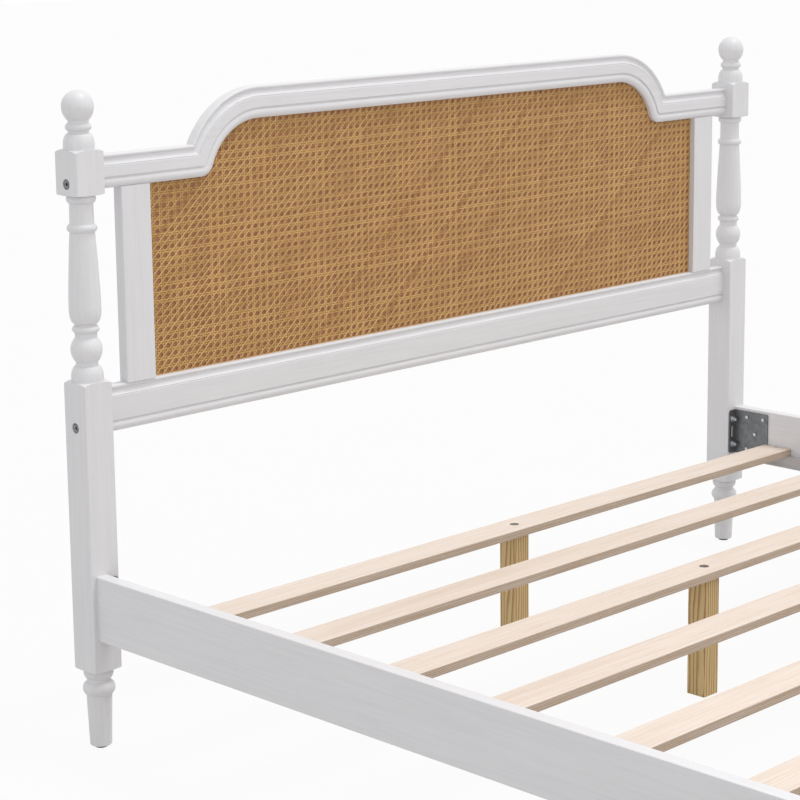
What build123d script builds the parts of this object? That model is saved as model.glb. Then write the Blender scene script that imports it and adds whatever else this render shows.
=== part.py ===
from build123d import *
from math import acos, cos, degrees, radians, sin, sqrt
import os

# Rattan platform bed, in millimetres. The origin is on the floor under the middle of the bed.
# +Y points to the headboard, +X to the right of someone who looks at it from the foot, +Z up.

# Driving dimensions

# Bed size: the clear space that takes a king mattress
inner_width = 1950.0
inner_length = 2045.0

# Posts
post_size = 64.0
post_edge = 1.5
glide_height = 5.0
glide_radius = 11.5
glide_pin_radius = 2.0
glide_pin_length = 14.0
turned_foot_height = 152.0
lower_block_height = 557.0
spindle_height = 346.5
upper_block_height = 83.4
foot_block_height = 212.0
block_top_drop = 5.0
block_bottom_drop = 1.5
lathe_radius = 30.4

# Turned foot, from the floor end up
foot_end_radius = 21.0
foot_end_round = 1.5
foot_taper_height = 101.0
foot_shaft_radius = 24.6
foot_torus_height = 25.5
foot_torus_radius = 31.0
foot_neck_height = 5.5
foot_neck_radius = 22.3
foot_collar_radius = 28.4

# Turned spindle between the two blocks, from the lower block up
base_dome_radius = lathe_radius
base_dome_wall = 7.0
base_dome_height = 29.0
neck_height = 6.5
neck_radius = 20.8
ball_radius = 29.6
ball_drop = 34.5
upper_neck_height = 10.0
ring_height = 13.0
ring_radius = 25.6
vase_foot_radius = 20.3
vase_foot_height = 3.5
vase_swell_height = 27.0
vase_radius = 30.2
vase_top_radius = 23.3
vase_slope = 9.0
bead_height = 15.0
bead_radius = 28.2
shaft_height = 38.0
shaft_low_radius = 22.9
shaft_top_radius = 22.2
collar_height = 15.5
collar_radius = 27.6

# Finial over the upper block
finial_dome_radius = 29.2
finial_dome_wall = 7.6
finial_dome_height = 29.6
finial_neck_radius = 19.2
finial_neck_height = 4.0
finial_upper_neck_height = 4.8
finial_bead_height = 14.0
finial_bead_radius = 24.3
finial_ball_radius = 30.0
finial_ball_drop = 33.5

# Headboard frame
frame_thickness = 24.0
frame_set_back = 20.0
bottom_rail_drop = 16.5
bottom_rail_height = 87.5
top_rail_height = 62.5
top_rail_lift = 7.5
arch_rise = 102.0
arch_radius = 188.0
shoulder_length = 230.0
arch_corner_radius = 30.0
stile_gap = 52.5
stile_width = 68.5
stile_edge = 1.0

# Moulding on the two headboard rails: distances in from the edge, and depths behind the face
edge_bead_width = 7.0
edge_bead_depth = 5.5
edge_bead_crown = 2.6
cove_start = 8.4
cove_end = 19.6
cove_hollow = 15.0
cove_deep = 6.4
cove_shallow = 1.0
quirk_depth = 2.0
top_moulding_width = 22.0
low_bead_width = 21.0
low_bead_lip = 2.0
low_bead_depth = 3.4
low_bead_crown = 0.2
low_groove_width = 1.6

# Rattan panel and the board behind it, both in a rebate at the back of the frame
panel_set_back = 14.0
rebate_width = 10.0
rebate_clearance = 0.5
rattan_thickness = 3.0
board_thickness = 5.0
pin_radius = 0.8
pin_head_radius = 1.9
pin_head_thickness = 0.8
pin_length = 15.0
pin_inset = 5.0
crown_pins = 5
stile_pins = 3
bottom_pins = 9

# Side rails, foot rail and slat ledges
rail_thickness = 26.0
rail_height = 125.5
rail_bottom = 221.0
rail_set_in = 10.0
rail_edge = 2.0
ledge_width = 20.0
ledge_height = 27.5
ledge_end_gap = 106.0
ledge_edge = 1.0

# Slats and the legs under every other one of them
slat_count = 8
slat_width = 75.5
slat_thickness = 17.0
slat_edge = 1.5
slat_end_gap = 2.0
slat_head_gap = 94.0
slat_foot_gap = 110.0
slat_shifts = (0.0, 15.0, 16.0, 23.0, 10.0, 0.0, 0.0, 0.0)
leg_size = 44.0
leg_edge = 1.0
leg_offsets = (17.0, 42.0, 24.0, 24.0)

# Corner brackets of bent steel
bracket_thickness = 3.0
bracket_height = 108.0
bracket_rail_leaf = 101.0
bracket_post_leaf = 24.5
bracket_bend_radius = 3.0
bracket_corner = 8.0
bracket_screw_near = 40.0
bracket_screw_far = 88.0
bracket_screw_edge = 14.0
bracket_bolt_spacing = 62.5
bracket_bolt_inset = 12.0
bracket_slot_length = 30.0
bracket_slot_width = 8.0
bracket_lift = 1.75

# Fasteners and dowels
fit_clearance = 0.1
bolt_radius = 4.0
bolt_hole_radius = 4.25
bolt_length = 101.0
bolt_head_radius = 8.5
bolt_head_thickness = 4.0
bolt_socket_size = 5.0
bolt_socket_depth = 2.5
counterbore_radius = 10.0
counterbore_depth = 5.5
barrel_nut_radius = 6.0
barrel_nut_length = 16.0
barrel_nut_inset = 35.0
barrel_nut_past_bolt = 5.0
bolt_hole_extra = 2.0
top_bolt_height = 14.0
bottom_bolt_height = 18.0
foot_bolt_heights = (42.0, 82.0)
dowel_radius = 4.0
dowel_length = 40.0
top_dowel_height = 46.0
bottom_dowel_height = 69.0
foot_dowel_heights = (20.0, 104.0)
stile_dowel_spacing = 32.0
screw_radius = 2.0
screw_head_radius = 4.0
screw_head_thickness = 2.4
bracket_screw_length = 18.0
ledge_screw_length = 38.0
ledge_screw_count = 7
slat_screw_length = 34.0
slat_screw_inset = 7.5
stud_radius = 4.0
stud_depth = 34.0
stud_reach = 16.0
washer_radius = 8.0
washer_thickness = 1.6
nut_size = 13.0
nut_thickness = 6.5
leg_bolt_length = 60.0
leg_bolt_head_radius = 8.0
leg_bolt_head_thickness = 3.5
leg_bolt_sink_radius = 10.0
leg_bolt_sink_depth = 5.0

# Sizes and places that follow from them

half_width = inner_width / 2
head_face = inner_length / 2
foot_face = -inner_length / 2
post_x = half_width + rail_thickness + rail_set_in - post_size / 2
head_post_y = head_face + post_size / 2
foot_post_y = foot_face - post_size / 2
post_outer = post_x + post_size / 2
post_inner = post_x - post_size / 2

foot_top = glide_height + turned_foot_height
lower_block_top = foot_top + lower_block_height
upper_block_bottom = lower_block_top + spindle_height
upper_block_top = upper_block_bottom + upper_block_height
foot_block_top = foot_top + foot_block_height
finial_top = (
    upper_block_top
    + finial_dome_height
    + finial_neck_height
    + finial_bead_height
    + finial_upper_neck_height
    + finial_ball_drop * sqrt(1 - (finial_neck_radius / finial_ball_radius) ** 2)
    + finial_ball_radius
)

frame_front = head_face + frame_set_back
frame_back = frame_front + frame_thickness
frame_middle = frame_front + frame_thickness / 2
bottom_rail_top = lower_block_top - bottom_rail_drop
bottom_rail_bottom = bottom_rail_top - bottom_rail_height
shoulder_bottom = upper_block_bottom + top_rail_lift
shoulder_top = shoulder_bottom + top_rail_height
crown_top = shoulder_top + arch_rise
crown_bottom = crown_top - top_rail_height
arch_centre_z = crown_top - arch_radius
inner_arch_radius = arch_radius - top_rail_height
cusp_reach = sqrt(arch_radius**2 - (arch_radius - arch_rise) ** 2)
arch_x = post_inner - shoulder_length - cusp_reach
stile_outer = post_inner - stile_gap
stile_inner = stile_outer - stile_width
stile_middle = (stile_outer + stile_inner) / 2

# The small arc that rounds the frame's inner corner touches the shoulder and the arch
corner_centre_z = shoulder_bottom + arch_corner_radius
corner_reach = inner_arch_radius + arch_corner_radius
corner_centre_x = arch_x + sqrt(corner_reach**2 - (corner_centre_z - arch_centre_z) ** 2)
corner_angle = degrees(acos((corner_centre_z - arch_centre_z) / corner_reach))

rattan_front = frame_front + panel_set_back
rattan_back = rattan_front + rattan_thickness
board_back = rattan_back + board_thickness
panel_margin = rebate_width - rebate_clearance

rail_middle_x = half_width + rail_thickness / 2
rail_top = rail_bottom + rail_height
foot_rail_front = foot_post_y - post_size / 2 + rail_set_in
foot_rail_middle = foot_rail_front + rail_thickness / 2
slat_bottom = rail_bottom + ledge_height
slat_top = slat_bottom + slat_thickness
slat_length = inner_width - 2 * slat_end_gap
slat_pitch = (inner_length - slat_head_gap - slat_foot_gap - slat_width) / (slat_count - 1)
slat_ys = [
    head_face - slat_head_gap - slat_width / 2 - i * slat_pitch + slat_shifts[i]
    for i in range(slat_count)
]
leg_ys = [slat_ys[2 * i] for i in range(len(leg_offsets))]
ledge_half_length = inner_length / 2 - ledge_end_gap
ledge_middle_x = half_width - ledge_width / 2
ledge_middle_z = rail_bottom + ledge_height / 2

bracket_bottom = rail_bottom + (rail_height - bracket_height) / 2 + bracket_lift
bracket_middle_z = bracket_bottom + bracket_height / 2
bracket_bolt_x = half_width - bracket_post_leaf + bracket_bolt_inset
bracket_bolt_zs = [bracket_middle_z + s * bracket_bolt_spacing / 2 for s in (-1, 1)]
bracket_screws = [
    (bracket_screw_near, bracket_bottom + bracket_screw_edge),
    (bracket_screw_far, bracket_bottom + bracket_screw_edge),
    ((bracket_screw_near + bracket_screw_far) / 2, bracket_middle_z),
    (bracket_screw_near, bracket_bottom + bracket_height - bracket_screw_edge),
    (bracket_screw_far, bracket_bottom + bracket_height - bracket_screw_edge),
]

sides = (("left", -1), ("right", 1))
ends = (("head", 1), ("foot", -1))

# Bolt and dowel places on each end of a rail: rail middle in Y, heights in Z
top_bolt_zs = [shoulder_bottom + top_bolt_height]
bottom_bolt_zs = [bottom_rail_bottom + bottom_bolt_height]
foot_bolt_zs = [rail_bottom + h for h in foot_bolt_heights]
top_dowel_zs = [shoulder_bottom + top_dowel_height]
bottom_dowel_zs = [bottom_rail_bottom + bottom_dowel_height]
foot_dowel_zs = [rail_bottom + h for h in foot_dowel_heights]
head_bolt_zs = top_bolt_zs + bottom_bolt_zs
head_dowel_zs = top_dowel_zs + bottom_dowel_zs
stile_dowel_xs = [stile_middle - stile_dowel_spacing / 2, stile_middle + stile_dowel_spacing / 2]

# Places of the pins that hold the board: (x, z) on the right half, and on the middle line
crown_pin_xs = [arch_x * (2 * i / (crown_pins - 1) - 1) for i in range(crown_pins)]
shoulder_pin_x = (corner_centre_x + stile_inner) / 2
stile_pin_zs = [
    bottom_rail_top + (shoulder_bottom - bottom_rail_top) * (i + 0.5) / stile_pins
    for i in range(stile_pins)
]
bottom_pin_xs = [stile_inner * (2 * (i + 0.5) / bottom_pins - 1) for i in range(bottom_pins)]
top_pins = [(x, crown_bottom + pin_inset) for x in crown_pin_xs]
top_pins += [(s * shoulder_pin_x, shoulder_bottom + pin_inset) for s in (-1, 1)]
bottom_pin_places = [(x, bottom_rail_top - pin_inset) for x in bottom_pin_xs]
stile_pin_places = [
    (s * (stile_inner + pin_inset), z) for s in (-1, 1) for z in stile_pin_zs
]
all_pins = top_pins + bottom_pin_places + stile_pin_places


# Shapes shared by several pieces


def facing(y):
    """The upright plane at y that is drawn on in X and Z."""
    return Plane(origin=(0, y, 0), x_dir=(1, 0, 0), z_dir=(0, -1, 0))


def across(x):
    """The upright plane at x that is drawn on in Y and Z."""
    return Plane.YZ.offset(x)


def rod_x(x_from, x_to, places, radius, mode=Mode.ADD):
    """Round rods or bores along X, centred on places given as (y, z)."""
    with BuildSketch(across(x_from)) as section:
        with Locations(*places):
            Circle(radius)
    extrude(section.sketch, amount=x_to - x_from, mode=mode)


def rod_y(y_from, y_to, places, radius, mode=Mode.ADD):
    """Round rods or bores along Y, centred on places given as (x, z)."""
    with BuildSketch(facing(y_from)) as section:
        with Locations(*places):
            Circle(radius)
    extrude(section.sketch, amount=y_from - y_to, mode=mode)


def rod_z(z_from, z_to, places, radius, mode=Mode.ADD):
    """Round rods or bores along Z, centred on places given as (x, y)."""
    with BuildSketch(Plane.XY.offset(z_from)) as section:
        with Locations(*places):
            Circle(radius)
    extrude(section.sketch, amount=z_to - z_from, mode=mode)


def bulge(low, high, crown):
    """A convex turned arc through the height halfway between its two ends."""
    ThreePointArc(low, (crown, (low[1] + high[1]) / 2), high)


def dome(radius, wall, height, base, neck):
    """The upper part of a turned dome: a short wall, then a quarter of an oval."""
    Line((radius, base), (radius, base + wall))
    EllipticalCenterArc((neck, base + wall), radius - neck, height - wall, 0, arc_size=90)


def ball(radius, drop, middle, neck, rise):
    """A turned ball, round above its middle height and a taller oval down to its neck below."""
    fall = acos(neck / radius)
    turns = [fall * share / 4 for share in (4, 3, 2, 1, 0)]
    Spline(
        [(radius * cos(turn), middle - drop * sin(turn)) for turn in turns],
        tangents=((radius * sin(fall), drop * cos(fall)), (0, 1)),
    )
    CenterArc((0, middle), radius, 0, rise)


def save(part, name):
    """Label one piece and write it to its own file."""
    part.label = name
    export_step(part, f"parts/{name}.step")


def block(x, y, z_from, z_to):
    """A square post block whose corners the lathe has rounded off at both ends."""
    reach = post_size / sqrt(2)
    bend = (reach + lathe_radius) / 2 + 1.5
    low = z_from + block_bottom_drop
    high = z_to - block_top_drop
    with BuildPart() as square:
        with BuildSketch(Plane.XY.offset(z_from)) as section:
            with Locations((x, y)):
                Rectangle(post_size, post_size)
            chamfer(section.vertices(), post_edge)
        extrude(amount=z_to - z_from)
        with BuildSketch(Plane(origin=(x, y, 0), x_dir=(1, 0, 0), z_dir=(0, -1, 0))):
            with BuildLine():
                Line((0, z_from), (lathe_radius, z_from))
                ThreePointArc(
                    (lathe_radius, z_from), (bend, z_from + block_bottom_drop / 3), (reach, low)
                )
                Line((reach, low), (reach, high))
                ThreePointArc((reach, high), (bend, z_to - block_top_drop / 3), (lathe_radius, z_to))
                Line((lathe_radius, z_to), (0, z_to))
                Line((0, z_to), (0, z_from))
            make_face()
        revolve(axis=Axis((x, y, 0), (0, 0, 1)), mode=Mode.INTERSECT)
    return square.part


def turned(x, y, draw, z_from, z_to):
    """Revolve the outline that draw() lays down between two heights of a post."""
    with BuildPart() as turning:
        with BuildSketch(Plane(origin=(x, y, 0), x_dir=(1, 0, 0), z_dir=(0, -1, 0))):
            with BuildLine():
                draw()
                Line((0, z_to), (0, z_from))
            make_face()
        revolve(axis=Axis((x, y, 0), (0, 0, 1)))
    return turning.part


def foot_outline():
    """Half outline of the turned foot: tapered shaft, torus, neck and collar."""
    taper_top = glide_height + foot_taper_height
    torus_top = taper_top + foot_torus_height
    neck_top = torus_top + foot_neck_height
    torus_end = foot_shaft_radius - 1.0
    end_round = (foot_end_radius, glide_height + foot_end_round)
    collar_top = foot_neck_radius + 4.0
    Line((0, glide_height), (foot_end_radius - foot_end_round, glide_height))
    Line((foot_end_radius - foot_end_round, glide_height), end_round)
    Line(end_round, (foot_shaft_radius, taper_top))
    bulge((foot_shaft_radius, taper_top), (torus_end, torus_top), foot_torus_radius)
    Line((torus_end, torus_top), (foot_neck_radius, torus_top + 1.0))
    Line((foot_neck_radius, torus_top + 1.0), (foot_neck_radius, neck_top))
    bulge((foot_neck_radius, neck_top), (collar_top, foot_top), foot_collar_radius)
    Line((collar_top, foot_top), (0, foot_top))


def spindle_outline():
    """Half outline of the turned spindle between a headboard post's two blocks."""
    Line((0, lower_block_top), (base_dome_radius, lower_block_top))
    dome(base_dome_radius, base_dome_wall, base_dome_height, lower_block_top, neck_radius)
    neck_low = lower_block_top + base_dome_height
    ball_low = neck_low + neck_height
    ball_middle = ball_low + ball_drop * sqrt(1 - (neck_radius / ball_radius) ** 2)
    ball_high = ball_middle + sqrt(ball_radius**2 - neck_radius**2)
    ring_low = ball_high + upper_neck_height
    ring_high = ring_low + ring_height
    vase_low = ring_high + vase_foot_height
    swell = vase_low + vase_swell_height
    collar_low = upper_block_bottom - collar_height
    shaft_low = collar_low - shaft_height
    vase_high = shaft_low - bead_height
    Line((neck_radius, neck_low), (neck_radius, ball_low))
    ball(ball_radius, ball_drop, ball_middle, neck_radius, degrees(acos(neck_radius / ball_radius)))
    Line((neck_radius, ball_high), (neck_radius, ring_low))
    bulge((neck_radius, ring_low), (vase_foot_radius, ring_high), ring_radius)
    Line((vase_foot_radius, ring_high), (vase_foot_radius, vase_low))
    swell_reach = vase_radius - vase_foot_radius
    EllipticalCenterArc((vase_foot_radius, swell), swell_reach, vase_swell_height, -90, arc_size=90)
    Spline(
        (vase_radius, swell),
        ((vase_radius + vase_top_radius) / 2 + 0.9, (swell + vase_high) / 2),
        (vase_top_radius, vase_high),
        tangents=((0, 1), (-vase_slope / 100, 1)),
    )
    bulge((vase_top_radius, vase_high), (shaft_low_radius, shaft_low), bead_radius)
    Line((shaft_low_radius, shaft_low), (shaft_top_radius, collar_low))
    collar_top = shaft_top_radius + 2.5
    bulge((shaft_top_radius, collar_low), (collar_top, upper_block_bottom), collar_radius)
    Line((collar_top, upper_block_bottom), (0, upper_block_bottom))


def finial_outline():
    """Half outline of the finial: dome, neck, bead and ball."""
    base = upper_block_top
    Line((0, base), (finial_dome_radius, base))
    dome(finial_dome_radius, finial_dome_wall, finial_dome_height, base, finial_neck_radius)
    neck_low = base + finial_dome_height
    bead_low = neck_low + finial_neck_height
    bead_high = bead_low + finial_bead_height
    ball_low = bead_high + finial_upper_neck_height
    centre = finial_top - finial_ball_radius
    Line((finial_neck_radius, neck_low), (finial_neck_radius, bead_low))
    bulge((finial_neck_radius, bead_low), (finial_neck_radius, bead_high), finial_bead_radius)
    Line((finial_neck_radius, bead_high), (finial_neck_radius, ball_low))
    ball(finial_ball_radius, finial_ball_drop, centre, finial_neck_radius, 90.0)


def post_bores(side, middle_y, bolt_zs, dowel_zs, end):
    """Counterbored bolt holes, dowel holes and bracket bolt holes of one post."""
    outer = side * post_outer
    inner = side * post_inner
    bolt_places = [(middle_y, z) for z in bolt_zs]
    rod_x(outer, inner, bolt_places, bolt_hole_radius, Mode.SUBTRACT)
    rod_x(outer, outer - side * counterbore_depth, bolt_places, counterbore_radius, Mode.SUBTRACT)
    dowel_places = [(middle_y, z) for z in dowel_zs]
    dowel_hole = dowel_length / 2 + 1.0
    rod_x(inner, inner + side * dowel_hole, dowel_places, dowel_radius + fit_clearance, Mode.SUBTRACT)
    stud_places = [(side * bracket_bolt_x, z) for z in bracket_bolt_zs]
    face = end * head_face
    rod_y(face, face + end * (stud_depth + 1.0), stud_places, stud_radius + fit_clearance, Mode.SUBTRACT)


def glide_hole(places):
    """Bore for a glide's nail in the underside of a post."""
    top = glide_height + glide_pin_length + 1.0
    rod_z(glide_height, top, places, glide_pin_radius + fit_clearance, Mode.SUBTRACT)


def edge_moulding(x, edge, inwards):
    """Section of what is cut from the face beside a rail's upper or outer edge."""
    face = frame_front

    def at(depth, distance):
        return (face + depth, edge + inwards * distance)

    with BuildSketch(across(x)) as section:
        with BuildLine():
            Line(at(-1, -1), at(edge_bead_depth, -1))
            Line(at(edge_bead_depth, -1), at(edge_bead_depth, 0))
            ThreePointArc(
                at(edge_bead_depth, 0),
                at(edge_bead_crown, edge_bead_width / 2),
                at(edge_bead_depth, edge_bead_width),
            )
            Line(at(edge_bead_depth, edge_bead_width), at(cove_deep, cove_start))
            ThreePointArc(
                at(cove_deep, cove_start), at(0.75 * cove_deep, cove_hollow), at(cove_shallow, cove_end)
            )
            quirk = (cove_end + top_moulding_width) / 2
            Line(at(cove_shallow, cove_end), at(quirk_depth, quirk))
            Line(at(quirk_depth, quirk), at(0, top_moulding_width))
            Line(at(0, top_moulding_width), at(-1, top_moulding_width))
            Line(at(-1, top_moulding_width), at(-1, -1))
        make_face()
    return section.sketch


def low_bead(x, edge, inwards):
    """Section of what is cut from the face to leave a bead beside a rail's lower or inner edge."""
    face = frame_front
    bead_end = low_bead_width - 1.0 - low_groove_width

    def at(depth, distance):
        return (face + depth, edge + inwards * distance)

    with BuildSketch(across(x)) as section:
        with BuildLine():
            Line(at(-1, -1), at(low_bead_depth + low_bead_lip, -1))
            Line(at(low_bead_depth + low_bead_lip, -1), at(low_bead_depth + low_bead_lip, 0))
            Line(at(low_bead_depth + low_bead_lip, 0), at(low_bead_depth, low_bead_lip))
            ThreePointArc(
                at(low_bead_depth, low_bead_lip),
                at(low_bead_crown, (low_bead_lip + bead_end) / 2),
                at(low_bead_depth, bead_end),
            )
            Line(at(low_bead_depth, bead_end), at(low_bead_depth, bead_end + low_groove_width))
            Line(at(low_bead_depth, bead_end + low_groove_width), at(0, low_bead_width))
            Line(at(0, low_bead_width), at(-1, low_bead_width))
            Line(at(-1, low_bead_width), at(-1, -1))
        make_face()
    return section.sketch


def mitre(distance):
    """Point (x, z) at one distance from both the arch's and the shoulder's outer edges."""
    reach = sqrt((arch_radius - distance) ** 2 - (arch_radius - arch_rise - distance) ** 2)
    return (arch_x + reach, shoulder_top - distance)


def mitre_curve(near, far):
    """Control points of the mitre, which is a parabola, between two distances."""
    start, end = mitre(near), mitre(far)
    middle = (start[0] + end[0]) / 2
    slope = (start[0] - arch_x) / arch_rise
    return start, (middle, start[1] + slope * (middle - start[0])), end


def opening_outline(y, margin):
    """Outline of the framed opening at y, grown by a margin on all sides."""
    radius = inner_arch_radius + margin
    shoulder = shoulder_bottom + margin
    corner = arch_x + sqrt(radius**2 - (shoulder - arch_centre_z) ** 2)
    turn = acos((shoulder - arch_centre_z) / radius) / 2
    bend = (arch_x + radius * sin(turn), arch_centre_z + radius * cos(turn))
    with BuildSketch(facing(y)) as outline:
        with BuildLine():
            Line((0, bottom_rail_top - margin), (stile_inner + margin, bottom_rail_top - margin))
            Line((stile_inner + margin, bottom_rail_top - margin), (stile_inner + margin, shoulder))
            Line((stile_inner + margin, shoulder), (corner, shoulder))
            ThreePointArc((corner, shoulder), bend, (arch_x, crown_bottom + margin))
            Line((arch_x, crown_bottom + margin), (0, crown_bottom + margin))
            Line((0, crown_bottom + margin), (0, bottom_rail_top - margin))
        make_face()
        mirror(about=Plane.YZ)
    return outline.sketch


def cut_rebate():
    """Cut the rebate for the rattan and its board into a frame piece."""
    depth = frame_thickness - panel_set_back
    extrude(opening_outline(rattan_front, rebate_width), amount=-depth, mode=Mode.SUBTRACT)


def cut_pin_holes(places):
    """Bores for the board's pins in a frame piece."""
    rod_y(rattan_front, board_back - pin_length - 1.0, places, pin_radius + fit_clearance, Mode.SUBTRACT)


def rail_end_bores(half_length, middle_y, back_y, bolt_zs, dowel_zs):
    """Bolt, barrel nut and dowel holes at both ends of a rail that runs along X."""
    for side in (-1, 1):
        end = side * half_length
        bolt_end = side * (post_outer - counterbore_depth - bolt_length - bolt_hole_extra)
        dowel_end = side * (half_length - dowel_length / 2 - 1.0)
        nut_places = [(side * (half_length - barrel_nut_inset), z) for z in bolt_zs]
        nut_front = middle_y - barrel_nut_past_bolt
        rod_x(end, bolt_end, [(middle_y, z) for z in bolt_zs], bolt_hole_radius, Mode.SUBTRACT)
        rod_x(
            end, dowel_end, [(middle_y, z) for z in dowel_zs], dowel_radius + fit_clearance, Mode.SUBTRACT
        )
        rod_y(back_y, nut_front, nut_places, barrel_nut_radius + fit_clearance, Mode.SUBTRACT)


os.makedirs("parts", exist_ok=True)

# Headboard posts

for side_name, side in sides:
    x = side * post_x
    with BuildPart() as headboard_post:
        add(turned(x, head_post_y, foot_outline, glide_height, foot_top))
        add(block(x, head_post_y, foot_top, lower_block_top))
        add(turned(x, head_post_y, spindle_outline, lower_block_top, upper_block_bottom))
        add(block(x, head_post_y, upper_block_bottom, upper_block_top))
        add(turned(x, head_post_y, finial_outline, upper_block_top, finial_top))
        post_bores(side, frame_middle, head_bolt_zs, head_dowel_zs, 1)
        glide_hole([(x, head_post_y)])
    save(headboard_post.part, f"headboard_post_{side_name}")

# Foot posts: the same block and turned foot, cut off a little above the rails

for side_name, side in sides:
    x = side * post_x
    with BuildPart() as foot_post:
        add(turned(x, foot_post_y, foot_outline, glide_height, foot_top))
        add(block(x, foot_post_y, foot_top, foot_block_top))
        post_bores(side, foot_rail_middle, foot_bolt_zs, foot_dowel_zs, -1)
        glide_hole([(x, foot_post_y)])
    save(foot_post.part, f"foot_post_{side_name}")

# Glides: a plastic disc with a round nail, under each post

with BuildPart() as post_glides:
    places = [(side * post_x, y) for side in (-1, 1) for y in (head_post_y, foot_post_y)]
    rod_z(0, glide_height, places, glide_radius)
    rod_z(glide_height, glide_height + glide_pin_length, places, glide_pin_radius)
save(post_glides.part, "post_glides")

# Headboard top rail: right half of the arched board, its mouldings cut away, then mirrored

inner_arch_end = (
    arch_x + inner_arch_radius * sin(radians(corner_angle)),
    arch_centre_z + inner_arch_radius * cos(radians(corner_angle)),
)
inner_arch_bend = (
    arch_x + inner_arch_radius * sin(radians(corner_angle / 2)),
    arch_centre_z + inner_arch_radius * cos(radians(corner_angle / 2)),
)
corner_bend = (
    corner_centre_x - arch_corner_radius * sin(radians(corner_angle / 2)),
    corner_centre_z - arch_corner_radius * cos(radians(corner_angle / 2)),
)
cusp = mitre(0)
cusp_angle = degrees(acos((arch_radius - arch_rise) / arch_radius))
outer_arch_bend = (
    arch_x + arch_radius * sin(radians(cusp_angle / 2)),
    arch_centre_z + arch_radius * cos(radians(cusp_angle / 2)),
)
arch_axis = Axis((arch_x, 0, arch_centre_z), (0, 1, 0))
corner_axis = Axis((corner_centre_x, 0, corner_centre_z), (0, 1, 0))

# The region on the shoulder's side of the mitre between shoulder and arch
with BuildPart() as shoulder_side:
    with BuildSketch(facing(frame_front - 2.0)):
        with BuildLine():
            Bezier(*mitre_curve(-3.0, top_moulding_width + 2.0))
            Polyline(
                mitre(top_moulding_width + 2.0),
                (mitre(top_moulding_width + 2.0)[0], shoulder_bottom - top_rail_height),
                (post_inner + 5.0, shoulder_bottom - top_rail_height),
                (post_inner + 5.0, mitre(-3.0)[1]),
                mitre(-3.0),
            )
        make_face()
    extrude(amount=-frame_thickness)

with BuildPart() as arch_moulding:
    revolve(edge_moulding(arch_x, crown_top, -1), axis=arch_axis, revolution_arc=85)
    add(shoulder_side.part, mode=Mode.SUBTRACT)

with BuildPart() as shoulder_moulding:
    extrude(edge_moulding(post_inner + 2.0, shoulder_top, -1), amount=-(post_inner - arch_x))
    add(shoulder_side.part, mode=Mode.INTERSECT)

with BuildPart() as headboard_top_rail:
    with BuildSketch(facing(frame_front)):
        with BuildLine():
            Line((0, crown_top), (arch_x, crown_top))
            ThreePointArc((arch_x, crown_top), outer_arch_bend, cusp)
            Line(cusp, (post_inner, shoulder_top))
            Line((post_inner, shoulder_top), (post_inner, shoulder_bottom))
            Line((post_inner, shoulder_bottom), (corner_centre_x, shoulder_bottom))
            ThreePointArc((corner_centre_x, shoulder_bottom), corner_bend, inner_arch_end)
            ThreePointArc(inner_arch_end, inner_arch_bend, (arch_x, crown_bottom))
            Line((arch_x, crown_bottom), (0, crown_bottom))
            Line((0, crown_bottom), (0, crown_top))
        make_face()
    extrude(amount=-frame_thickness)
    # Outer moulding along crown, arch and shoulder
    extrude(edge_moulding(0, crown_top, -1), amount=arch_x, mode=Mode.SUBTRACT)
    add(arch_moulding.part, mode=Mode.SUBTRACT)
    add(shoulder_moulding.part, mode=Mode.SUBTRACT)
    # Inner bead along crown, arch, rounded corner and shoulder
    crown_bead = low_bead(0, crown_bottom, 1)
    arch_bead = low_bead(arch_x, crown_bottom, 1)
    shoulder_bead = low_bead(corner_centre_x, shoulder_bottom, 1)
    extrude(crown_bead, amount=arch_x, mode=Mode.SUBTRACT)
    revolve(arch_bead, axis=arch_axis, revolution_arc=corner_angle, mode=Mode.SUBTRACT)
    revolve(shoulder_bead, axis=corner_axis, revolution_arc=corner_angle, mode=Mode.SUBTRACT)
    extrude(shoulder_bead, amount=post_inner - corner_centre_x + 1.0, mode=Mode.SUBTRACT)
    mirror(about=Plane.YZ)
    cut_rebate()
    cut_pin_holes(top_pins)
    rail_end_bores(post_inner, frame_middle, frame_back, top_bolt_zs, top_dowel_zs)
    stile_tops = [(s * x, frame_middle) for s in (-1, 1) for x in stile_dowel_xs]
    rod_z(
        shoulder_bottom, shoulder_bottom + dowel_length / 2 + 1.0, stile_tops,
        dowel_radius + fit_clearance, Mode.SUBTRACT,
    )
save(headboard_top_rail.part, "headboard_top_rail")

# Headboard bottom rail: the same mouldings on a straight, taller board

with BuildPart() as headboard_bottom_rail:
    with BuildSketch(across(-post_inner)):
        with Locations((frame_middle, bottom_rail_top - bottom_rail_height / 2)):
            Rectangle(frame_thickness, bottom_rail_height)
    extrude(amount=2 * post_inner)
    top_moulding = edge_moulding(-post_inner - 1.0, bottom_rail_top, -1)
    bottom_bead = low_bead(-post_inner - 1.0, bottom_rail_bottom, 1)
    extrude(top_moulding, amount=2 * post_inner + 2.0, mode=Mode.SUBTRACT)
    extrude(bottom_bead, amount=2 * post_inner + 2.0, mode=Mode.SUBTRACT)
    cut_rebate()
    cut_pin_holes(bottom_pin_places)
    rail_end_bores(post_inner, frame_middle, frame_back, bottom_bolt_zs, bottom_dowel_zs)
    rod_z(
        bottom_rail_top, bottom_rail_top - dowel_length / 2 - 1.0, stile_tops,
        dowel_radius + fit_clearance, Mode.SUBTRACT,
    )
save(headboard_bottom_rail.part, "headboard_bottom_rail")

# Headboard stiles

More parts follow.
